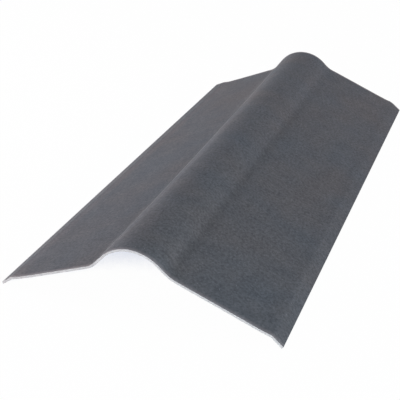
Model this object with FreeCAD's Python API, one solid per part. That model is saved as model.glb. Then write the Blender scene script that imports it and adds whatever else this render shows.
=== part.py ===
import FreeCAD, Part
import math
import os

# Roof ridge cap: one sheet of pressed fibre, formed along the ridge into a round crown with a
# flat wing on each side. Each wing ends in a slightly flatter margin and a drip lip that is
# bent down.
# The section is drawn in the XZ plane and runs along Y. Z is up and the cap is symmetrical
# about X = 0. Z = 0 is the level floor under the lower corners of the two lips, and Y = 0 is
# the middle of the length. Lengths are in millimetres and angles are in degrees.

# The sheet as a whole
SHEET_LENGTH = 1000.0
SHEET_WIDTH = 485.0
SHEET_THICKNESS = 4.0

# The section, from the crown's top outwards. Each bend's radius is that of its hollow face,
# and slopes are measured down from the level.
CROWN_INSIDE_RADIUS = 61.0
FLANK_SLOPE = 44.0
FLANK_RUN = 14.0
VALLEY_INSIDE_RADIUS = 95.0
WING_SLOPE = 21.5
MARGIN_BEND_RADIUS = 55.0
MARGIN_LIFT = 5.0
MARGIN_RUN = 13.0
LIP_INSIDE_RADIUS = 3.5
LIP_TURN = 20.5
LIP_RUN = 23.0


class Station:
    """A point of the upper face, with the slope of the sheet there in radians."""

    def __init__(self, x, z, slope):
        self.x = x
        self.z = z
        self.slope = slope

    def after_run(self, run):
        """The station at the end of a straight run of this length."""
        return Station(
            self.x + run * math.cos(self.slope),
            self.z - run * math.sin(self.slope),
            self.slope,
        )

    def after_bend(self, inside_radius, turn):
        """The station after a bend that steepens the sheet by turn, or flattens it if negative."""
        if turn > 0:
            radius = inside_radius + SHEET_THICKNESS
        else:
            radius = -inside_radius
        new_slope = self.slope + turn
        return Station(
            self.x + radius * (math.sin(new_slope) - math.sin(self.slope)),
            self.z - radius * (math.cos(self.slope) - math.cos(new_slope)),
            new_slope,
        )

    def at_depth(self, depth, side):
        """The point this deep in the sheet, on the right side (+1) or mirrored to the left (-1)."""
        x = self.x - depth * math.sin(self.slope)
        z = self.z - depth * math.cos(self.slope)
        return FreeCAD.Vector(side * x, 0, z)


class Leg:
    """One straight or bent stretch of the section between two stations."""

    def __init__(self, start, end, middle=None):
        self.start = start
        self.end = end
        self.middle = middle

    def edge(self, depth, side):
        """The edge of this leg on the face that lies this deep in the sheet."""
        first = self.start.at_depth(depth, side)
        last = self.end.at_depth(depth, side)
        if self.middle is None:
            return Part.LineSegment(first, last).toShape()
        return Part.Arc(first, self.middle.at_depth(depth, side), last).toShape()


def run_leg(start, run):
    """A straight leg of this length."""
    return Leg(start, start.after_run(run))


def bend_leg(start, inside_radius, turn):
    """A bent leg that turns the sheet by this many degrees."""
    turn = math.radians(turn)
    end = start.after_bend(inside_radius, turn)
    middle = start.after_bend(inside_radius, turn / 2)
    return Leg(start, end, middle)


def half_section(wing_run):
    """The crown's half arc and the legs to its right, from the crown's top to the lip's edge."""
    crown_top = Station(0, 0, 0)
    crown = bend_leg(crown_top, CROWN_INSIDE_RADIUS, FLANK_SLOPE)
    flank = run_leg(crown.end, FLANK_RUN)
    valley = bend_leg(flank.end, VALLEY_INSIDE_RADIUS, WING_SLOPE - FLANK_SLOPE)
    wing = run_leg(valley.end, wing_run)
    margin_bend = bend_leg(wing.end, MARGIN_BEND_RADIUS, -MARGIN_LIFT)
    margin = run_leg(margin_bend.end, MARGIN_RUN)
    lip_bend = bend_leg(margin.end, LIP_INSIDE_RADIUS, LIP_TURN)
    lip = run_leg(lip_bend.end, LIP_RUN)
    return [crown, flank, valley, wing, margin_bend, margin, lip_bend, lip]


def wing_run_for_width():
    """The wing's straight run that brings the lip's outer edge to half of the sheet's width."""
    reach_without_wing = half_section(0)[-1].end.x
    return (SHEET_WIDTH / 2 - reach_without_wing) / math.cos(math.radians(WING_SLOPE))


def section_face():
    """The whole section as a closed face that stands on Z = 0."""
    legs = half_section(wing_run_for_width())
    crown = legs[0]
    lip = legs[-1]
    edges = []
    for depth in (0, SHEET_THICKNESS):
        left_end = crown.end.at_depth(depth, -1)
        top = crown.start.at_depth(depth, 1)
        right_end = crown.end.at_depth(depth, 1)
        edges.append(Part.Arc(left_end, top, right_end).toShape())
        for side in (-1, 1):
            edges.extend(leg.edge(depth, side) for leg in legs[1:])
    for side in (-1, 1):
        upper_corner = lip.end.at_depth(0, side)
        lower_corner = lip.end.at_depth(SHEET_THICKNESS, side)
        edges.append(Part.LineSegment(upper_corner, lower_corner).toShape())
    face = Part.Face(Part.Wire(Part.__sortEdges__(edges)))
    face.translate(FreeCAD.Vector(0, 0, -face.BoundBox.ZMin))
    return face


def ridge_cap():
    """The sheet: its section carried along the ridge and cut square at both ends."""
    face = section_face()
    face.translate(FreeCAD.Vector(0, -SHEET_LENGTH / 2, 0))
    return face.extrude(FreeCAD.Vector(0, SHEET_LENGTH, 0))


def main():
    """Write the cap's one solid."""
    os.makedirs("parts", exist_ok=True)
    solid = ridge_cap()
    solid.exportStep("parts/ridge_cap.step")
    box = solid.BoundBox
    print("ridge_cap", solid.ShapeType, "valid", solid.isValid())
    print("width %.2f length %.2f height %.2f" % (box.XLength, box.YLength, box.ZLength))
    print("volume %.1f cm3" % (solid.Volume / 1000))


main()
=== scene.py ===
import logging
import math
from dataclasses import dataclass
from enum import Enum

import bpy
from mathutils import Matrix, Vector


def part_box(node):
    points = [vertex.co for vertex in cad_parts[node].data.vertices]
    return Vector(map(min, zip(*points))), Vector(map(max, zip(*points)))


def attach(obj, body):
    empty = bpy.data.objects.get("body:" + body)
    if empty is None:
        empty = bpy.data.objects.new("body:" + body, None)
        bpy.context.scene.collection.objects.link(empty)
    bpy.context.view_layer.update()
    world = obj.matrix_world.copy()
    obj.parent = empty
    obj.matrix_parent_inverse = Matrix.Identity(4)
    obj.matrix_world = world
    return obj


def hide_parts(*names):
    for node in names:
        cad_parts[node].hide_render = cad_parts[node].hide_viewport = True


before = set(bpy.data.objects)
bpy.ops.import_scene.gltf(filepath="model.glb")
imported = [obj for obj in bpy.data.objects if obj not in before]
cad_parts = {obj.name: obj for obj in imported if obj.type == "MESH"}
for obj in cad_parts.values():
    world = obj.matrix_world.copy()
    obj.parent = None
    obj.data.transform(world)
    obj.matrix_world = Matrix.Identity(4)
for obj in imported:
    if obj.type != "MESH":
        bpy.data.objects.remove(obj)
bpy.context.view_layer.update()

LOG = logging.getLogger("ridge_cap")

MM = 0.001
CAD_NODE = "ridge_cap"
BODY = "root"
FRAME_PIXELS = 400
SENSOR_WIDTH = 36.0
WHITE = (1.0, 1.0, 1.0, 1.0)
# A Mix node has inputs of each kind: these are the places of its two numbers and two colours
NUMBER_A, NUMBER_B = 2, 3
COLOUR_A, COLOUR_B = 6, 7
# Where each vertex was on the flat blank: from the ridge's middle, along it and down into it
BLANK_PLACE = "blank_place"
# The flat blank is one unit long, wide and thick, so its faces are half a unit out
BLANK_FACE = 0.5
JUST_INSIDE_FACE = 0.4999
LINES = ("Near Line", "Middle Line", "Far Line")

Socket = bpy.types.NodeSocket
Sockets = bpy.types.bpy_prop_collection
Node = bpy.types.Node
Tree = bpy.types.NodeTree
# Linear red, green and blue, and alpha
Colour = tuple[float, float, float, float]
# A point of the section in millimetres, across and up from the crown's top
Point = tuple[float, float]
# A stretch of the section: its straight run, its upper face's radius and its turn in degrees
Leg = tuple[float, float, float]


def hex_colour(text: str) -> Colour:
    """Turn an sRGB hex colour into the linear colour that a shader reads.

    Args:
        text: Six hex digits, such as "5C5D61".

    Returns:
        Linear red, green and blue, and an alpha of 1.
    """
    linear = []
    for start in (0, 2, 4):
        level = int(text[start : start + 2], 16) / 255
        # The sRGB curve is straight near black and a power above that
        if level <= 0.04045:
            linear.append(level / 12.92)
        else:
            linear.append(((level + 0.055) / 1.055) ** 2.4)
    return (*linear, 1.0)


def add_node(
    tree: Tree, kind: str, feeds: dict[str | int, object] | None = None, **settings: object
) -> Node:
    """Add one node to a tree, with its settings and what feeds its sockets.

    Args:
        tree: The shader or geometry tree.
        kind: Blender's name of the node type.
        feeds: For each input, by name or place, a plain value, the output that drives it, or a
            node, whose first output in use then drives it.
        **settings: The node's own properties.

    Returns:
        The new node.
    """
    node = tree.nodes.new(kind)
    for name, value in settings.items():
        setattr(node, name, value)
    for key, value in (feeds or {}).items():
        if isinstance(value, Node):
            value = next(output for output in value.outputs if output.enabled)
        if isinstance(value, Socket):
            tree.links.new(value, node.inputs[key])
        else:
            node.inputs[key].default_value = value
    return node


def empty_material(name: str) -> bpy.types.Material:
    """Make a material with an empty node tree.

    Args:
        name: What the finish is, in plain words.

    Returns:
        The new material.
    """
    material = bpy.data.materials.new(name)
    material.use_nodes = True
    material.node_tree.nodes.clear()
    return material


def per_mm(size_mm: float) -> float:
    """Give the texture scale at which one cell of a pattern is this many millimetres."""
    return 1.0 / (size_mm * MM)


class Surface(Enum):
    """The faces of the sheet, each with its own finish."""

    COAT = "Coat"
    BACK = "Back"
    CUT = "Cut"


@dataclass(frozen=True)
class CoatedFibre:
    """The weather face: pressed bitumen fibre board with a matt pigmented coat.

    The coat takes on the felt of the fibres under it, so the eye sees a dead matt grey with a
    fine grain and faint clouds where it soaked in more. Painted shade darkens a line along each
    valley crease, the coat is paler where it is chipped along the saw cuts, a paler band of
    painted light lies along the left margin, and a soft rim of stray fibres shows where the
    crown turns away.
    """

    half_length_mm: float
    dark: str = "4A4C50"
    light: str = "707176"
    cool_tint: str = "F0F9FF"
    warm_tint: str = "FFFAF7"
    patch_tint: str = "F0F0F1"
    # The colour of the painted shade in the valley creases
    valley_shade_tint: str = "ECECEC"
    fleck: str = "8E8E93"
    # Real felt grain is under 1 mm; it is drawn coarser so that it shows in the render
    grain_mm: float = 4.5
    grain_octaves: float = 4.0
    grain_roughness: float = 0.75
    # The patches and clouds are soft and broad
    patch_mm: float = 30.0
    cloud_mm: float = 120.0
    broad_octaves: float = 2.0
    broad_roughness: float = 0.5
    pattern_range: tuple[float, float] = (0.3, 0.7)
    fleck_mm: float = 11.0
    # Where a fleck is full and where it ends, as shares of its cell
    fleck_reach: tuple[float, float] = (0.05, 0.09)
    fleck_strength: float = 0.5
    # Painted shade along each valley's crease, darkening the coat's colour, from a middle line
    # that has shifted with the leaning crown
    valley_shade_place_mm: float = 79.5
    valley_shade_shift_mm: float = -4.5
    valley_shade_half_width_mm: float = 14.0
    # Where the painted valley shade begins to fade along the ridge, and where it ends
    valley_shade_fade_mm: tuple[float, float] = (50.0, 450.0)
    # A pale colour: the chipped coat along the saw cuts, and the painted light on the left margin
    wear_and_painted_light: str = "C0B6B8"
    sawn_reach_mm: float = 10.5
    sawn_strength: float = 0.28
    # Painted light: a paler band along the left margin, standing in for light that falls on it
    lit_margin_place_mm: float = -240.0
    lit_margin_half_width_mm: float = 14.0
    lit_margin_strength: float = 0.09
    roughness: float = 0.85
    specular: float = 0.18
    sheen: float = 0.5
    sheen_roughness: float = 0.15
    wax: float = 0.15
    wax_roughness: float = 0.4
    wax_ior: float = 1.15
    bump_mm: float = 0.2

    def material(self) -> bpy.types.Material:
        """Build the coat's material.

        Returns:
            The material of the upper face.
        """
        material = empty_material("coated_bitumen_fibre")
        tree = material.node_tree
        place = add_node(tree, "ShaderNodeTexCoord").outputs["Object"]
        blank = add_node(tree, "ShaderNodeAttribute", attribute_name=BLANK_PLACE)
        split = add_node(tree, "ShaderNodeSeparateXYZ", {0: blank.outputs["Vector"]}).outputs
        grain, level = self.pattern(
            tree, place, self.grain_mm, self.grain_octaves, self.grain_roughness
        )
        felt = add_node(
            tree,
            "ShaderNodeMix",
            {0: level, COLOUR_A: hex_colour(self.dark), COLOUR_B: hex_colour(self.light)},
            data_type="RGBA",
        )
        tinted = self.tint(tree, place, split, felt)
        # The coat, paler along the saw cuts and with painted light on the left margin
        wear_and_painted_light = self.paint_wear_and_light(tree, split, tinted)
        coloured = self.add_flecks(tree, place, wear_and_painted_light)
        bump = add_node(
            tree,
            "ShaderNodeBump",
            {"Height": grain, "Distance": self.bump_mm * MM, "Strength": 1.0},
        )
        shader = add_node(
            tree,
            "ShaderNodeBsdfPrincipled",
            {
                "Base Color": coloured,
                "Roughness": self.roughness,
                "Specular IOR Level": self.specular,
                "Sheen Weight": self.sheen,
                "Sheen Roughness": self.sheen_roughness,
                "Coat Weight": self.wax,
                "Coat Roughness": self.wax_roughness,
                "Coat IOR": self.wax_ior,
                "Normal": bump,
            },
        )
        add_node(tree, "ShaderNodeOutputMaterial", {"Surface": shader})
        return material

    def pattern(
        self, tree: Tree, place: Socket, size_mm: float, octaves: float, roughness: float
    ) -> tuple[Node, Node]:
        """Add one soft, uneven pattern.

        Args:
            tree: The coat's node tree.
            place: The place on the object.
            size_mm: The size of the pattern's spots.
            octaves: How many finer layers the spots have.
            roughness: How strong the finer layers are.

        Returns:
            The node with the pattern itself, and the one with its level from 0 to 1.
        """
        noise = add_node(
            tree,
            "ShaderNodeTexNoise",
            {"Vector": place, "Scale": per_mm(size_mm), "Detail": octaves, "Roughness": roughness},
        )
        low, high = self.pattern_range
        level = add_node(
            tree, "ShaderNodeMapRange", {"Value": noise, "From Min": low, "From Max": high}
        )
        return noise, level

    def tint(self, tree: Tree, place: Socket, split: Sockets, felt: Node) -> Node:
        """Tint the felt: cool and warm clouds, soaked patches, and painted shade in the creases.

        Args:
            tree: The coat's node tree.
            place: The place on the object.
            split: The place on the flat blank, as X, Y and Z.
            felt: The plain colour of the felt.

        Returns:
            The node with the tinted colour.
        """
        broad = (self.broad_octaves, self.broad_roughness)
        _, cloud = self.pattern(tree, place, self.cloud_mm, *broad)
        _, patch = self.pattern(tree, place, self.patch_mm, *broad)
        shifted = add_node(
            tree,
            "ShaderNodeMath",
            {0: split["X"], 1: self.valley_shade_shift_mm * MM},
            operation="SUBTRACT",
        )
        from_middle = add_node(tree, "ShaderNodeMath", {0: shifted}, operation="ABSOLUTE")
        # Painted shade: a darker band of colour along each valley crease
        crease = self.band(tree, from_middle, self.valley_shade_place_mm, self.valley_shade_half_width_mm)
        # The painted valley shade is full up to a little past the middle, and fades out at the far
        # end
        begin, end = self.valley_shade_fade_mm
        valley_shade_kept = add_node(
            tree,
            "ShaderNodeMapRange",
            {
                "Value": split["Y"],
                "From Min": begin * MM,
                "From Max": end * MM,
                "To Min": 1.0,
                "To Max": 0.0,
            },
        )
        faded = add_node(
            tree, "ShaderNodeMath", {0: crease, 1: valley_shade_kept}, operation="MULTIPLY"
        )
        colour = felt
        for share, first, second in (
            (cloud, hex_colour(self.cool_tint), hex_colour(self.warm_tint)),
            (patch, hex_colour(self.patch_tint), WHITE),
            # The last veil paints shade into the valley creases
            (faded, WHITE, hex_colour(self.valley_shade_tint)),
        ):
            veil = add_node(
                tree,
                "ShaderNodeMix",
                {0: share, COLOUR_A: first, COLOUR_B: second},
                data_type="RGBA",
            )
            colour = add_node(
                tree,
                "ShaderNodeMix",
                {0: 1.0, COLOUR_A: colour, COLOUR_B: veil},
                data_type="RGBA",
                blend_type="MULTIPLY",
            )
        return colour

    def paint_wear_and_light(self, tree: Tree, split: Sockets, colour: Node) -> Node:
        """Paint light onto the left margin as a paler band, and chip the coat along the saw cuts.

        Args:
            tree: The coat's node tree.
            split: The place on the flat blank, as X, Y and Z.
            colour: The colour of the whole coat.

        Returns:
            The node with the colour, chipped along the saw cuts and with the painted light.
        """
        from_centre = add_node(tree, "ShaderNodeMath", {0: split["Y"]}, operation="ABSOLUTE")
        sawn = self.band(tree, from_centre, self.half_length_mm, self.sawn_reach_mm)
        # Painted light: the band along the left margin; the band at the ends is chipped coat
        lit_margin = self.band(tree, split["X"], self.lit_margin_place_mm, self.lit_margin_half_width_mm)
        for bare, strength in ((lit_margin, self.lit_margin_strength), (sawn, self.sawn_strength)):
            share = add_node(tree, "ShaderNodeMath", {0: bare, 1: strength}, operation="MULTIPLY")
            colour = add_node(
                tree,
                "ShaderNodeMix",
                {0: share, COLOUR_A: colour, COLOUR_B: hex_colour(self.wear_and_painted_light)},
                data_type="RGBA",
            )
        return colour

    def add_flecks(self, tree: Tree, place: Socket, colour: Node) -> Node:
        """Scatter stray pale fibres, which the coat didn't wet.

        Args:
            tree: The coat's node tree.
            place: The place on the object.
            colour: The colour between the flecks.

        Returns:
            The node with the coat's final colour.
        """
        cells = add_node(
            tree, "ShaderNodeTexVoronoi", {"Vector": place, "Scale": per_mm(self.fleck_mm)}
        )
        inner, outer = self.fleck_reach
        near_fleck = add_node(
            tree,
            "ShaderNodeMapRange",
            {
                "Value": cells.outputs["Distance"],
                "From Min": inner,
                "From Max": outer,
                "To Min": self.fleck_strength,
                "To Max": 0.0,
            },
        )
        return add_node(
            tree,
            "ShaderNodeMix",
            {0: near_fleck, COLOUR_A: colour, COLOUR_B: hex_colour(self.fleck)},
            data_type="RGBA",
        )

    def band(
        self, tree: Tree, place: Node | Socket, middle_mm: float, half_width_mm: float
    ) -> Node:
        """Give 1 along a line on the flat blank, fading to 0 beside it.

        Args:
            tree: The coat's node tree.
            place: What gives the place on the blank, in metres.
            middle_mm: The place of the line.
            half_width_mm: How far from the line the band fades out.

        Returns:
            The node that holds the band's strength.
        """
        beside = add_node(
            tree, "ShaderNodeMath", {0: place, 1: middle_mm * MM}, operation="SUBTRACT"
        )
        off = add_node(tree, "ShaderNodeMath", {0: beside}, operation="ABSOLUTE")
        return add_node(
            tree,
            "ShaderNodeMapRange",
            {
                "Value": off,
                "From Min": 0.0,
                "From Max": half_width_mm * MM,
                "To Min": 1.0,
                "To Max": 0.0,
            },
            interpolation_type="SMOOTHSTEP",
        )


@dataclass(frozen=True)
class BareFibre:
    """The underside: the same board without its coat, dark with bitumen.

    The wet pulp lay on a wire mesh, so the eye sees a fine, soft weave print under the fibres.
    """

    dark: str = "2C2B2C"
    light: str = "434244"
    mottle_mm: float = 4.0
    mottle_octaves: float = 4.0
    wire_pitch_mm: float = 2.4
    wire_depth_mm: float = 0.12
    wire_share: float = 0.35
    roughness: float = 0.85
    specular: float = 0.3

    def material(self) -> bpy.types.Material:
        """Build the underside's material.

        Returns:
            The material of the lower face.
        """
        material = empty_material("bare_bitumen_fibre")
        tree = material.node_tree
        place = add_node(tree, "ShaderNodeTexCoord").outputs["Object"]
        blank = add_node(tree, "ShaderNodeAttribute", attribute_name=BLANK_PLACE)
        mottle = add_node(
            tree,
            "ShaderNodeTexNoise",
            {"Vector": place, "Scale": per_mm(self.mottle_mm), "Detail": self.mottle_octaves},
        )
        colour = add_node(
            tree,
            "ShaderNodeMix",
            {0: mottle, COLOUR_A: hex_colour(self.dark), COLOUR_B: hex_colour(self.light)},
            data_type="RGBA",
        )
        split = add_node(tree, "ShaderNodeSeparateXYZ", {0: blank.outputs["Vector"]})
        turns = 2 * math.pi * per_mm(self.wire_pitch_mm)
        waves = []
        for axis in ("X", "Y"):
            angle = add_node(
                tree, "ShaderNodeMath", {0: split.outputs[axis], 1: turns}, operation="MULTIPLY"
            )
            waves.append(add_node(tree, "ShaderNodeMath", {0: angle}, operation="SINE"))
        weave = add_node(tree, "ShaderNodeMath", {0: waves[0], 1: waves[1]}, operation="MULTIPLY")
        relief = add_node(
            tree,
            "ShaderNodeMath",
            {0: weave, 1: self.wire_share, 2: mottle},
            operation="MULTIPLY_ADD",
        )
        bump = add_node(
            tree, "ShaderNodeBump", {"Height": relief, "Distance": self.wire_depth_mm * MM}
        )
        shader = add_node(
            tree,
            "ShaderNodeBsdfPrincipled",
            {
                "Base Color": colour,
                "Roughness": self.roughness,
                "Specular IOR Level": self.specular,
                "Normal": bump,
            },
        )
        add_node(tree, "ShaderNodeOutputMaterial", {"Surface": shader})
        return material


@dataclass(frozen=True)
class CutFibre:
    """The sawn edges: bare pulp fibres, torn open by the saw.

    The open fibres scatter light, so the eye sees a pale, soft line with fine plies along it.
    """

    pale: str = "C7BCBA"
    dull: str = "A39898"
    ply_mm: float = 0.7
    strand_mm: float = 3.0
    octaves: float = 3.0
    pale_range: tuple[float, float] = (0.3, 0.65)
    roughness: float = 0.9
    specular: float = 0.2
    bump_mm: float = 0.25

    def material(self) -> bpy.types.Material:
        """Build the cut edge's material.

        Returns:
            The material of the sawn edges.
        """
        material = empty_material("sawn_bitumen_fibre")
        tree = material.node_tree
        blank = add_node(tree, "ShaderNodeAttribute", attribute_name=BLANK_PLACE)
        # The strands lie along the sheet, so the pattern is short through its thickness
        strand = per_mm(self.strand_mm)
        stretched = add_node(
            tree,
            "ShaderNodeVectorMath",
            {0: blank.outputs["Vector"], 1: (strand, strand, per_mm(self.ply_mm))},
            operation="MULTIPLY",
        )
        strands = add_node(
            tree,
            "ShaderNodeTexNoise",
            {"Vector": stretched, "Scale": 1.0, "Detail": self.octaves},
        )
        low, high = self.pale_range
        level = add_node(
            tree, "ShaderNodeMapRange", {"Value": strands, "From Min": low, "From Max": high}
        )
        colour = add_node(
            tree,
            "ShaderNodeMix",
            {0: level, COLOUR_A: hex_colour(self.dull), COLOUR_B: hex_colour(self.pale)},
            data_type="RGBA",
        )
        bump = add_node(
            tree, "ShaderNodeBump", {"Height": strands, "Distance": self.bump_mm * MM}
        )
        shader = add_node(
            tree,
            "ShaderNodeBsdfPrincipled",
            {
                "Base Color": colour,
                "Roughness": self.roughness,
                "Specular IOR Level": self.specular,
                "Normal": bump,
            },
        )
        add_node(tree, "ShaderNodeOutputMaterial", {"Surface": shader})
        return material


@dataclass(frozen=True)
class Half:
    """One side of the section at one place along the cap, in millimetres and degrees.

    The board is soft, so each side has eased a little out of its mould, and differently near
    the ends. Slopes are measured down from the level, and radii are those of the upper face.
    """

    flank_slope: float
    flank_run: float
    valley_radius: float
    wing_slope: float
    margin_lift: float
    lip_turn: float


@dataclass(frozen=True)
class Station:
    """The section at one place: the crown, how far it leans to the right, and both sides."""

    crown_radius: float
    crown_shift: float
    left: Half
    right: Half


@dataclass
class Section:
    """What the section keeps all along the cap, in millimetres, with the upper face's radii."""

    half_width: float
    thickness: float = 4.0
    margin_bend_radius: float = 55.0
    margin_run: float = 11.2
    lip_bend_radius: float = 16.0
    lip_run: float = 21.2
    steps_per_bend: int = 48

    def legs(self, station: Station, half: Half, wing_run: float) -> list[Leg]:
        """List the stretches of one side, from the crown's top outwards.

        Args:
            station: The place along the cap.
            half: The side at that place.
            wing_run: The straight run of the wing.

        Returns:
            The stretches. One that turns downwards has a positive turn.
        """
        return [
            (0.0, station.crown_radius, half.flank_slope),
            (half.flank_run, 0.0, 0.0),
            (0.0, half.valley_radius, half.wing_slope - half.flank_slope),
            (wing_run, 0.0, 0.0),
            (0.0, self.margin_bend_radius, -half.margin_lift),
            (self.margin_run, 0.0, 0.0),
            (0.0, self.lip_bend_radius, half.lip_turn),
            (self.lip_run, 0.0, 0.0),
        ]

    def walk(self, legs: list[Leg]) -> tuple[list[Point], float]:
        """Follow the stretches along the upper face.

        Args:
            legs: The stretches, as given by legs().

        Returns:
            The points, and the last slope in radians.
        """
        across, up, slope = 0.0, 0.0, 0.0
        points = [(across, up)]
        for run, radius, turn in legs:
            if run:
                across += run * math.cos(slope)
                up -= run * math.sin(slope)
                points.append((across, up))
                continue
            reach = math.copysign(radius, turn)
            first = slope
            from_across, from_up = across, up
            for step in range(1, self.steps_per_bend + 1):
                slope = first + math.radians(turn) * step / self.steps_per_bend
                across = from_across + reach * (math.sin(slope) - math.sin(first))
                up = from_up - reach * (math.cos(first) - math.cos(slope))
                points.append((across, up))
        return points, slope

    def side(self, station: Station, half: Half, width: float) -> tuple[list[Point], float]:
        """Give one side's upper line, with a wing that is just long enough.

        Args:
            station: The place along the cap.
            half: The side at that place.
            width: How far across the line has to reach.

        Returns:
            The points, and the last slope in radians.
        """
        bare, _ = self.walk(self.legs(station, half, 0.0))
        wing_run = (width - bare[-1][0]) / math.cos(math.radians(half.wing_slope))
        return self.walk(self.legs(station, half, wing_run))

    def line(self, station: Station) -> list[Vector]:
        """Give the whole upper line from the left lip to the right, resting on the floor.

        Args:
            station: The place along the cap.

        Returns:
            The points in metres, in the plane Y = 0.
        """
        shift = station.crown_shift
        left, left_slope = self.side(station, station.left, self.half_width + shift)
        right, right_slope = self.side(station, station.right, self.half_width - shift)
        points = [(-across, up) for across, up in reversed(left)] + right[1:]
        left_foot = points[0][1] - self.thickness * math.cos(left_slope)
        right_foot = points[-1][1] - self.thickness * math.cos(right_slope)
        # Both lips stand on the floor, so the line is tilted until they do
        tilt = (left_foot - right_foot) / (2 * self.half_width)
        middle = (left_foot + right_foot) / 2
        return [
            Vector((place, 0.0, up - middle + tilt * place)) * MM
            for place, up in ((across + shift, up) for across, up in points)
        ]


def line_object(name: str, points: list[Vector]) -> bpy.types.Object:
    """Make a poly curve object, for a tree to sample.

    Args:
        name: The object's name.
        points: The points that the curve runs through, in metres.

    Returns:
        The new object.
    """
    data = bpy.data.curves.new(name, "CURVE")
    data.dimensions = "3D"
    spline = data.splines.new("POLY")
    spline.points.add(len(points) - 1)
    for point, place in zip(spline.points, points):
        point.co = (*place, 1.0)
    curve = bpy.data.objects.new(name, data)
    bpy.context.scene.collection.objects.link(curve)
    return curve


def run_tree(carrier: bpy.types.Object, tree: Tree, values: dict[str, object]) -> None:
    """Run a geometry tree on an object and keep the result as the object's plain mesh.

    Args:
        carrier: The object whose mesh the tree replaces.
        tree: The geometry tree.
        values: The value of each input, by its name.
    """
    modifier = carrier.modifiers.new(tree.name, "NODES")
    modifier.node_group = tree
    for socket in tree.interface.items_tree:
        if socket.name in values:
            modifier[socket.identifier] = values[socket.name]
    bpy.context.view_layer.update()
    graph = bpy.context.evaluated_depsgraph_get()
    mesh = bpy.data.meshes.new_from_object(carrier.evaluated_get(graph), depsgraph=graph)
    mesh.name = carrier.name
    carrier.modifiers.clear()
    old = carrier.data
    carrier.data = mesh
    bpy.data.meshes.remove(old)


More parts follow.
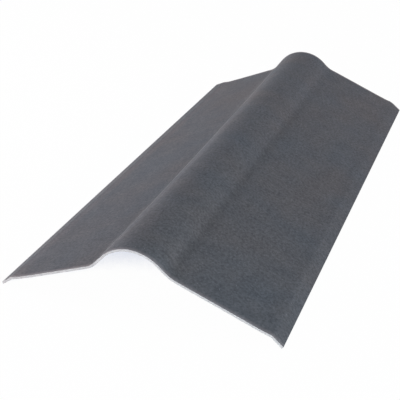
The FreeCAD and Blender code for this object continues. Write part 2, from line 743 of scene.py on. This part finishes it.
@dataclass
class PressedSheet:
    """The cap itself: a flat blank of fibre board, bent to the section along the ridge.

    Sizes are in millimetres. The three stations are at the near end, the middle and the far end.
    """

    section: Section
    length: float
    near: Station = Station(
        crown_radius=68.1,
        crown_shift=0.4,
        left=Half(
            flank_slope=46.3, flank_run=23.3, valley_radius=39.0,
            wing_slope=21.1, margin_lift=5.0, lip_turn=20.0,
        ),
        right=Half(
            flank_slope=42.7, flank_run=11.3, valley_radius=72.3,
            wing_slope=21.6, margin_lift=3.9, lip_turn=25.2,
        ),
    )
    middle: Station = Station(
        crown_radius=67.5,
        crown_shift=-1.6,
        left=Half(
            flank_slope=53.8, flank_run=12.7, valley_radius=40.9,
            wing_slope=22.3, margin_lift=6.2, lip_turn=15.0,
        ),
        right=Half(
            flank_slope=42.8, flank_run=10.8, valley_radius=61.0,
            wing_slope=21.7, margin_lift=5.3, lip_turn=17.6,
        ),
    )
    far: Station = Station(
        crown_radius=72.5,
        crown_shift=-6.6,
        left=Half(
            flank_slope=54.0, flank_run=18.3, valley_radius=42.7,
            wing_slope=23.5, margin_lift=7.5, lip_turn=10.0,
        ),
        right=Half(
            flank_slope=42.9, flank_run=10.2, valley_radius=49.7,
            wing_slope=21.7, margin_lift=6.7, lip_turn=10.0,
        ),
    )
    # What each edge keeps clear of the solid's own edge
    trim: float = 0.5
    columns: int = 361
    rows: int = 111
    layers: int = 5
    end_crowding: float = 0.72
    # Waves, dimples and creases fade out over this width beside each lip's edge
    lip_fade: float = 48.0
    wave_depth: float = 0.5
    wave_size: float = 170.0
    dimple_depth: float = 0.12
    dimple_size: float = 32.0
    crease_depth: float = 0.15
    crease_place: float = 79.5
    crease_half_width: float = 14.0
    # How far the far right corner is pulled back, and over what width and length
    corner_cut: float = 18.0
    corner_reach: float = 31.0
    corner_run: float = 120.0
    saw_depth: float = 0.35
    saw_size: float = 2.6
    wave_seed: float = 3.0
    dimple_seed: float = 10.0
    saw_seed: float = 16.0
    noise_range: tuple[float, float] = (0.25, 0.75)
    noise_octaves: float = 1.0

    def inputs(self, finishes: dict[Surface, bpy.types.Material]) -> dict[str, object]:
        """Give the value of each of the tree's inputs, with its lengths in metres.

        Args:
            finishes: The material of each surface.

        Returns:
            The values by input name.
        """
        lengths = {
            "Length": self.length,
            "Thickness": self.section.thickness,
            "Trim": self.trim,
            "Lip Fade": self.lip_fade,
            "Wave Depth": self.wave_depth,
            "Wave Size": self.wave_size,
            "Dimple Depth": self.dimple_depth,
            "Dimple Size": self.dimple_size,
            "Crease Depth": self.crease_depth,
            "Crease Place": self.crease_place,
            "Crease Half Width": self.crease_half_width,
            "Corner Cut": self.corner_cut,
            "Corner Reach": self.corner_reach,
            "Corner Run": self.corner_run,
            "Saw Depth": self.saw_depth,
            "Saw Size": self.saw_size,
        }
        values = {name: length * MM for name, length in lengths.items()}
        values |= {"End Crowding": self.end_crowding, "Wave Seed": self.wave_seed}
        values |= {"Dimple Seed": self.dimple_seed, "Saw Seed": self.saw_seed}
        values |= {"Columns": self.columns, "Rows": self.rows, "Layers": self.layers}
        values |= {surface.value: finishes[surface] for surface in Surface}
        for name, station in zip(LINES, (self.near, self.middle, self.far)):
            values[name] = line_object(name, self.section.line(station))
        return values

    def tree(self, values: dict[str, object]) -> Tree:
        """Build the tree that bends the blank and cuts its edges.

        Args:
            values: The inputs by name, whose types give the sockets' types.

        Returns:
            The tree.
        """
        tree = bpy.data.node_groups.new("bend_sheet_over_ridge", "GeometryNodeTree")
        kinds = {
            int: "NodeSocketInt",
            float: "NodeSocketFloat",
            bpy.types.Object: "NodeSocketObject",
            bpy.types.Material: "NodeSocketMaterial",
        }
        for name, value in values.items():
            tree.interface.new_socket(name, in_out="INPUT", socket_type=kinds[type(value)])
        tree.interface.new_socket("Sheet", in_out="OUTPUT", socket_type="NodeSocketGeometry")
        given = add_node(tree, "NodeGroupInput").outputs

        # The blank is a flat unit board: X runs across, Y along the ridge, Z through it
        blank = add_node(
            tree,
            "GeometryNodeMeshCube",
            {
                "Size": (1.0, 1.0, 1.0),
                "Vertices X": given["Columns"],
                "Vertices Y": given["Rows"],
                "Vertices Z": given["Layers"],
            },
        )
        kept = add_node(tree, "GeometryNodeCaptureAttribute", {"Geometry": blank.outputs["Mesh"]})
        kept.capture_items.new("VECTOR", "Blank")
        position = add_node(tree, "GeometryNodeInputPosition")
        tree.links.new(position.outputs[0], kept.inputs["Blank"])
        share = add_node(tree, "ShaderNodeSeparateXYZ", {0: kept.outputs["Blank"]}).outputs

        both_trims = add_node(
            tree, "ShaderNodeMath", {0: given["Trim"], 1: given["Trim"]}, operation="ADD"
        )
        crowded = self.crowd_rows(tree, given, share)
        trimmed = add_node(
            tree, "ShaderNodeMath", {0: given["Length"], 1: both_trims}, operation="SUBTRACT"
        )
        along = add_node(tree, "ShaderNodeMath", {0: crowded, 1: trimmed}, operation="MULTIPLY")
        on_face, inward, across, lip = self.follow_lines(tree, given, share, crowded, both_trims)

        # Where each point was on the flat blank, in metres
        from_coat = add_node(
            tree, "ShaderNodeMath", {0: BLANK_FACE, 1: share["Z"]}, operation="SUBTRACT"
        )
        depth = add_node(
            tree, "ShaderNodeMath", {0: from_coat, 1: given["Thickness"]}, operation="MULTIPLY"
        )
        flat_place = add_node(tree, "ShaderNodeCombineXYZ", {0: across, 1: along, 2: depth})
        press, torn = self.mark_sheet(tree, given, flat_place, across, along)
        sunk = add_node(tree, "ShaderNodeMath", {0: depth, 1: press}, operation="ADD")
        offset = add_node(
            tree, "ShaderNodeVectorMath", {0: inward, "Scale": sunk}, operation="SCALE"
        )
        bent = add_node(tree, "ShaderNodeVectorMath", {0: on_face, 1: offset}, operation="ADD")

        # The saw tears the two ends back unevenly, and nothing between them
        off_middle = add_node(tree, "ShaderNodeMath", {0: share["Y"]}, operation="ABSOLUTE")
        at_end = add_node(
            tree,
            "ShaderNodeMath",
            {0: off_middle, 1: JUST_INSIDE_FACE},
            operation="GREATER_THAN",
        )
        outwards = add_node(tree, "ShaderNodeMath", {0: share["Y"]}, operation="SIGN")
        side = add_node(tree, "ShaderNodeMath", {0: outwards, 1: at_end}, operation="MULTIPLY")
        pulled = add_node(
            tree,
            "ShaderNodeMath",
            {0: torn, 1: side, 2: self.cut_corner(tree, given, across, lip, along)},
            operation="MULTIPLY_ADD",
        )
        place_along = add_node(tree, "ShaderNodeMath", {0: along, 1: pulled}, operation="SUBTRACT")
        slid = add_node(tree, "ShaderNodeCombineXYZ", {0: 0.0, 1: place_along, 2: 0.0})
        final = add_node(tree, "ShaderNodeVectorMath", {0: bent, 1: slid}, operation="ADD")
        shaped = add_node(
            tree,
            "GeometryNodeSetPosition",
            {"Geometry": kept.outputs["Geometry"], "Position": final},
        )
        marked = add_node(
            tree,
            "GeometryNodeStoreNamedAttribute",
            {"Geometry": shaped, "Name": BLANK_PLACE, "Value": flat_place},
            data_type="FLOAT_VECTOR",
            domain="POINT",
        )
        smooth = add_node(tree, "GeometryNodeSetShadeSmooth", {"Geometry": marked})
        solid = add_node(tree, "GeometryNodeRealizeInstances", {"Geometry": smooth})
        add_node(tree, "NodeGroupOutput", {0: self.finish_faces(tree, given, share, solid)})
        return tree

    def finish_faces(self, tree: Tree, given: Sockets, share: Sockets, sheet: Node) -> Node:
        """Put the cut finish on every face, then the coat and the back on theirs.

        Args:
            tree: The geometry tree.
            given: The group's inputs.
            share: The place on the unit blank.
            sheet: The bent sheet.

        Returns:
            The node with the finished sheet.
        """
        # Every face of the unit blank is above -1, so the first test takes them all
        for surface, limit, test in (
            (Surface.CUT, -1.0, "GREATER_THAN"),
            (Surface.COAT, JUST_INSIDE_FACE, "GREATER_THAN"),
            (Surface.BACK, -JUST_INSIDE_FACE, "LESS_THAN"),
        ):
            chosen = add_node(
                tree,
                "FunctionNodeCompare",
                {0: share["Z"], 1: limit},
                data_type="FLOAT",
                operation=test,
            )
            sheet = add_node(
                tree,
                "GeometryNodeSetMaterial",
                {"Geometry": sheet, "Selection": chosen, "Material": given[surface.value]},
            )
        return sheet

    def cut_corner(
        self, tree: Tree, given: Sockets, across: Node, lip: Node, along: Node
    ) -> Node:
        """Pull the lip back at the far right corner, which the photograph shows short.

        Args:
            tree: The geometry tree.
            given: The group's inputs.
            across: The reach across the flat blank from the ridge's middle.
            lip: The reach of the lip's edge.
            along: The place along the ridge.

        Returns:
            The node with how far each point is pulled back along the ridge.
        """
        pull = given["Corner Cut"]
        edges = (
            (across, lip, given["Corner Reach"], "LINEAR"),
            (along, self.length / 2 * MM, given["Corner Run"], "SMOOTHSTEP"),
        )
        for place, edge, reach, easing in edges:
            inside = add_node(tree, "ShaderNodeMath", {0: edge, 1: place}, operation="SUBTRACT")
            nearness = add_node(
                tree,
                "ShaderNodeMapRange",
                {"Value": inside, "From Min": reach, "From Max": 0.0},
                interpolation_type=easing,
            )
            pull = add_node(tree, "ShaderNodeMath", {0: pull, 1: nearness}, operation="MULTIPLY")
        return pull

    def crowd_rows(self, tree: Tree, given: Sockets, share: Sockets) -> Node:
        """Crowd the rows towards the two ends, where the saw has left its marks.

        Args:
            tree: The geometry tree.
            given: The group's inputs.
            share: The place on the unit blank.

        Returns:
            The node with the place along the ridge, from -0.5 to 0.5.
        """
        angle = add_node(tree, "ShaderNodeMath", {0: share["Y"], 1: math.pi}, operation="MULTIPLY")
        sine = add_node(tree, "ShaderNodeMath", {0: angle}, operation="SINE")
        curved = add_node(tree, "ShaderNodeMath", {0: sine, 1: BLANK_FACE}, operation="MULTIPLY")
        return add_node(
            tree,
            "ShaderNodeMix",
            {0: given["End Crowding"], NUMBER_A: share["Y"], NUMBER_B: curved},
        )

    def follow_lines(
        self, tree: Tree, given: Sockets, share: Sockets, crowded: Node, trims: Node
    ) -> tuple[Node, Node, Node, Node]:
        """Find each column's place on the section, blended between the near, middle and far ones.

        Args:
            tree: The geometry tree.
            given: The group's inputs.
            share: The place on the unit blank.
            crowded: The place along the ridge, from -0.5 to 0.5.
            trims: What the two long edges lose together.

        Returns:
            The nodes with the place on the upper face, the direction into the board, the reach
            across the flat blank from the ridge's middle, and the reach of the lips' edges.
        """
        # With c for the place along the ridge, the weights are 2cc - c, 1 - 4cc and 2cc + c: each
        # line holds alone at its own station, and a parabola runs through all three
        square = add_node(tree, "ShaderNodeMath", {0: crowded, 1: crowded}, operation="MULTIPLY")
        doubled = add_node(tree, "ShaderNodeMath", {0: square, 1: 2.0}, operation="MULTIPLY")
        weights = (
            add_node(tree, "ShaderNodeMath", {0: doubled, 1: crowded}, operation="SUBTRACT"),
            add_node(
                tree, "ShaderNodeMath", {0: doubled, 1: -2.0, 2: 1.0}, operation="MULTIPLY_ADD"
            ),
            add_node(tree, "ShaderNodeMath", {0: doubled, 1: crowded}, operation="ADD"),
        )
        on_face, heading = (0.0, 0.0, 0.0), (0.0, 0.0, 0.0)
        from_left = add_node(
            tree, "ShaderNodeMath", {0: share["X"], 1: BLANK_FACE}, operation="ADD"
        )
        for name, weight in zip(LINES, weights):
            info = add_node(tree, "GeometryNodeObjectInfo", {"Object": given[name]})
            line = info.outputs["Geometry"]
            size = add_node(tree, "GeometryNodeCurveLength", {"Curve": line})
            inner = add_node(tree, "ShaderNodeMath", {0: size, 1: trims}, operation="SUBTRACT")
            reach = add_node(
                tree,
                "ShaderNodeMath",
                {0: from_left, 1: inner, 2: given["Trim"]},
                operation="MULTIPLY_ADD",
            )
            sample = add_node(
                tree,
                "GeometryNodeSampleCurve",
                {"Curves": line, "Length": reach},
                mode="LENGTH",
                data_type="FLOAT",
            )
            on_face = add_node(
                tree,
                "ShaderNodeVectorMath",
                {0: sample.outputs["Position"], 1: weight, 2: on_face},
                operation="MULTIPLY_ADD",
            )
            heading = add_node(
                tree,
                "ShaderNodeVectorMath",
                {0: sample.outputs["Tangent"], 1: weight, 2: heading},
                operation="MULTIPLY_ADD",
            )
        # The three lines are equally long within a millimetre, so the last one serves for the blank
        across = add_node(tree, "ShaderNodeMath", {0: share["X"], 1: inner}, operation="MULTIPLY")
        lip = add_node(tree, "ShaderNodeMath", {0: inner, 1: BLANK_FACE}, operation="MULTIPLY")
        unit = add_node(tree, "ShaderNodeVectorMath", {0: heading}, operation="NORMALIZE")
        inward = add_node(
            tree, "ShaderNodeVectorMath", {0: unit, 1: (0.0, 1.0, 0.0)}, operation="CROSS_PRODUCT"
        )
        into_board = add_node(
            tree, "ShaderNodeVectorMath", {0: inward, "Scale": -1.0}, operation="SCALE"
        )
        return on_face, into_board, across, lip

    def mark_sheet(
        self, tree: Tree, given: Sockets, flat_place: Node, across: Node, along: Node
    ) -> tuple[Node, Node]:
        """Add the sheet's waves, dimples and valley creases, and the saw's tears.

        The whole sheet waves a little, and each face has shallow dimples of its own. All of it
        only presses into the board, and fades out at the lips, which stand on the floor.

        Args:
            tree: The geometry tree.
            given: The group's inputs.
            flat_place: The place on the flat blank.
            across: The reach across the flat blank from the ridge's middle.
            along: The place along the ridge.

        Returns:
            The nodes with how far each point is pressed in, and how far the saw tears it back.
        """
        on_coat = add_node(tree, "ShaderNodeCombineXYZ", {0: across, 1: along, 2: 0.0})
        low, high = self.noise_range
        depths = {}
        for name, place in (("Wave", on_coat), ("Dimple", flat_place), ("Saw", flat_place)):
            scale = add_node(
                tree, "ShaderNodeMath", {0: 1.0, 1: given[name + " Size"]}, operation="DIVIDE"
            )
            noise = add_node(
                tree,
                "ShaderNodeTexNoise",
                {
                    "Vector": place,
                    "W": given[name + " Seed"],
                    "Scale": scale,
                    "Detail": self.noise_octaves,
                },
                noise_dimensions="4D",
            )
            depths[name] = add_node(
                tree,
                "ShaderNodeMapRange",
                {
                    "Value": noise,
                    "From Min": low,
                    "From Max": high,
                    "To Max": given[name + " Depth"],
                },
            )
        from_middle = add_node(tree, "ShaderNodeMath", {0: across}, operation="ABSOLUTE")
        beside = add_node(
            tree, "ShaderNodeMath", {0: from_middle, 1: given["Crease Place"]}, operation="SUBTRACT"
        )
        off = add_node(tree, "ShaderNodeMath", {0: beside}, operation="ABSOLUTE")
        crease = add_node(
            tree,
            "ShaderNodeMapRange",
            {
                "Value": off,
                "From Min": 0.0,
                "From Max": given["Crease Half Width"],
                "To Min": given["Crease Depth"],
                "To Max": 0.0,
            },
            interpolation_type="SMOOTHSTEP",
        )
        waved = add_node(
            tree, "ShaderNodeMath", {0: depths["Wave"], 1: depths["Dimple"]}, operation="ADD"
        )
        press = add_node(tree, "ShaderNodeMath", {0: waved, 1: crease}, operation="ADD")
        half_width = self.section.half_width * MM
        from_lip = add_node(
            tree, "ShaderNodeMath", {0: half_width, 1: from_middle}, operation="SUBTRACT"
        )
        fade = add_node(
            tree,
            "ShaderNodeMapRange",
            {"Value": from_lip, "From Min": 0.0, "From Max": given["Lip Fade"]},
            interpolation_type="SMOOTHSTEP",
        )
        faded = add_node(tree, "ShaderNodeMath", {0: press, 1: fade}, operation="MULTIPLY")
        return faded, depths["Saw"]

    def build(self, finishes: dict[Surface, bpy.types.Material]) -> bpy.types.Object:
        """Make the sheet's mesh and dress it.

        Args:
            finishes: The material of each surface.

        Returns:
            The finished sheet.
        """
        sheet = bpy.data.objects.new("fibre_sheet", bpy.data.meshes.new("fibre_sheet"))
        bpy.context.scene.collection.objects.link(sheet)
        values = self.inputs(finishes)
        run_tree(sheet, self.tree(values), values)
        for name in LINES:
            bpy.data.objects.remove(values[name])
        self.crease_cut_edges(sheet.data)
        return sheet

    def crease_cut_edges(self, mesh: bpy.types.Mesh) -> None:
        """Keep the shading sharp where a sawn edge meets the coat or the back.

        Args:
            mesh: The sheet's finished mesh.
        """
        finishes: dict[tuple[int, int], set[int]] = {}
        for face in mesh.polygons:
            for key in face.edge_keys:
                finishes.setdefault(key, set()).add(face.material_index)
        sharp = [len(finishes[edge.key]) > 1 for edge in mesh.edges]
        marks = mesh.attributes.new("sharp_edge", "BOOLEAN", "EDGE")
        marks.data.foreach_set("value", sharp)


@dataclass(frozen=True)
class Softbox:
    """A lamp with a large white front, aimed at the cap."""

    name: str
    place: tuple[float, float, float]
    size: tuple[float, float]
    watts: float
    colour: str

    def build(self, target: Vector) -> bpy.types.Object:
        """Make the lamp.

        Args:
            target: The point that it is aimed at.

        Returns:
            The lamp.
        """
        data = bpy.data.lights.new(self.name, "AREA")
        data.shape = "RECTANGLE"
        data.size, data.size_y = self.size
        data.energy = self.watts
        data.color = hex_colour(self.colour)[:3]
        lamp = bpy.data.objects.new(self.name, data)
        bpy.context.scene.collection.objects.link(lamp)
        lamp.location = self.place
        lamp.rotation_mode = "QUATERNION"
        lamp.rotation_quaternion = (target - lamp.location).to_track_quat("-Z", "Y")
        return lamp


@dataclass(frozen=True)
class Camera:
    """The photograph's view, in metres, degrees and pixels of the 400 by 400 frame."""

    place: tuple[float, float, float] = (0.4928, -1.4211, 0.7553)
    azimuth: float = 22.31
    elevation: float = 28.1
    roll: float = -0.96
    focal_pixels: float = 817.0

    def build(self) -> bpy.types.Object:
        """Make the camera and use it for the scene.

        Returns:
            The camera.
        """
        data = bpy.data.cameras.new("photo_view")
        data.sensor_width = SENSOR_WIDTH
        data.lens = self.focal_pixels / FRAME_PIXELS * SENSOR_WIDTH
        camera = bpy.data.objects.new("photo_view", data)
        bpy.context.scene.collection.objects.link(camera)
        turn = math.radians(self.azimuth)
        rise = math.radians(self.elevation)
        flat = math.cos(rise)
        back = Vector((math.sin(turn) * flat, -math.cos(turn) * flat, math.sin(rise)))
        level_right = Vector((math.cos(turn), math.sin(turn), 0.0))
        level_up = back.cross(level_right)
        lean = math.radians(self.roll)
        right = level_right * math.cos(lean) + level_up * math.sin(lean)
        up = level_up * math.cos(lean) - level_right * math.sin(lean)
        basis = Matrix((right, up, back)).transposed()
        camera.matrix_world = Matrix.Translation(self.place) @ basis.to_4x4()
        bpy.context.scene.camera = camera
        return camera


@dataclass
class Studio:
    """A white floor and background, soft lamps on all sides and the camera."""

    floor_size: float = 12.0
    floor_colour: str = "F4F4F6"
    floor_glow: float = 0.985
    shade_colour: str = "C6CCDF"
    # The shade looks this far in metres, is full where the first share of the directions is open,
    # and ends at the second
    shade_reach: float = 0.3
    shade_range: tuple[float, float] = (0.03, 0.07)
    shade_samples: int = 64
    daylight: str = "EAF6FF"
    daylight_strength: float = 0.15
    lamps: tuple[Softbox, ...] = (
        Softbox("left_softbox", (-2.1, -0.22, 0.75), (1.6, 2.4), 51.0, "FFF3F2"),
        Softbox("near_left_softbox", (-1.5, -1.6, 0.2), (0.8, 0.4), 10.0, "FFF3F2"),
        Softbox("back_softbox", (2.0, 1.4, 0.6), (1.2, 1.2), 26.5, "FFEAE6"),
        Softbox("front_softbox", (1.0, -2.4, 0.35), (1.0, 0.7), 50.5, "DDF7FF"),
        Softbox("top_softbox", (0.0, 0.0, 2.4), (2.0, 2.0), 11.0, "E9F3FF"),
    )

    def seen_as_white(self, tree: Tree) -> Node:
        """Tell what looks at a white surface from what it lights.

        Args:
            tree: The node tree of the floor or the world.

        Returns:
            The node with 1 for the camera's rays and those of reflections, and 0 for soft light.
        """
        ray = add_node(tree, "ShaderNodeLightPath").outputs
        seen = ray["Is Camera Ray"]
        for other in ("Is Glossy Ray", "Is Transmission Ray"):
            seen = add_node(tree, "ShaderNodeMath", {0: seen, 1: ray[other]}, operation="MAXIMUM")
        return seen

    def floor(self) -> bpy.types.Object:
        """Make the floor, which the camera sees as white with only the cap's soft shade.

        Returns:
            The floor.
        """
        half = self.floor_size / 2
        mesh = bpy.data.meshes.new("floor")
        corners = [(-half, -half, 0.0), (half, -half, 0.0), (half, half, 0.0), (-half, half, 0.0)]
        mesh.from_pydata(corners, [], [(0, 1, 2, 3)])
        floor = bpy.data.objects.new("floor", mesh)
        bpy.context.scene.collection.objects.link(floor)
        material = empty_material("white_floor")
        tree = material.node_tree
        seen = add_node(
            tree,
            "ShaderNodeMath",
            {0: self.seen_as_white(tree), 1: self.floor_glow},
            operation="MULTIPLY",
        )
        # Little light gets in far under the cap, so the floor has a soft bluish shade there
        open_share = add_node(
            tree,
            "ShaderNodeAmbientOcclusion",
            {"Distance": self.shade_reach},
            samples=self.shade_samples,
        )
        dark, clear = self.shade_range
        lit = add_node(
            tree,
            "ShaderNodeMapRange",
            {"Value": open_share.outputs["AO"], "From Min": dark, "From Max": clear},
        )
        shade = add_node(
            tree,
            "ShaderNodeMix",
            {0: lit, COLOUR_A: hex_colour(self.shade_colour), COLOUR_B: WHITE},
            data_type="RGBA",
        )
        paper = add_node(tree, "ShaderNodeBsdfDiffuse", {"Color": hex_colour(self.floor_colour)})
        glow = add_node(tree, "ShaderNodeEmission", {"Color": shade, "Strength": 1.0})
        mixed = add_node(tree, "ShaderNodeMixShader", {0: seen, 1: paper, 2: glow})
        add_node(tree, "ShaderNodeOutputMaterial", {"Surface": mixed})
        mesh.materials.append(material)
        return floor

    def world(self) -> None:
        """Light the scene with soft daylight that the camera and reflections see as white."""
        world = bpy.data.worlds.new("white_room")
        bpy.context.scene.world = world
        world.use_nodes = True
        tree = world.node_tree
        tree.nodes.clear()
        daylight = add_node(
            tree,
            "ShaderNodeBackground",
            {"Color": hex_colour(self.daylight), "Strength": self.daylight_strength},
        )
        white = add_node(tree, "ShaderNodeBackground", {"Color": WHITE, "Strength": 1.0})
        mixed = add_node(
            tree, "ShaderNodeMixShader", {0: self.seen_as_white(tree), 1: daylight, 2: white}
        )
        add_node(tree, "ShaderNodeOutputWorld", {"Surface": mixed})

    def build(self, target: Vector) -> None:
        """Set up the floor, the world, the lamps and the view.

        Args:
            target: The point that the lamps are aimed at.
        """
        self.floor()
        self.world()
        for lamp in self.lamps:
            lamp.build(target)
        Camera().build()
        bpy.context.scene.view_settings.view_transform = "Standard"


def report(piece: bpy.types.Object) -> None:
    """Log a piece's name and how many faces it has."""
    LOG.info("%s: %d faces", piece.name, len(piece.data.polygons))


def main() -> None:
    """Build the cap and its studio in order."""
    logging.basicConfig(level=logging.INFO, format="%(name)s: %(message)s")
    low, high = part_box(CAD_NODE)
    finishes = {
        Surface.COAT: CoatedFibre(half_length_mm=high.y / MM).material(),
        Surface.BACK: BareFibre().material(),
        Surface.CUT: CutFibre().material(),
    }
    section = Section(half_width=(high.x - low.x) / 2 / MM)
    sheet = PressedSheet(section, length=(high.y - low.y) / MM).build(finishes)
    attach(sheet, BODY)
    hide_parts(CAD_NODE)
    report(sheet)
    Studio().build((low + high) / 2)


if __name__ == "__main__":
    main()
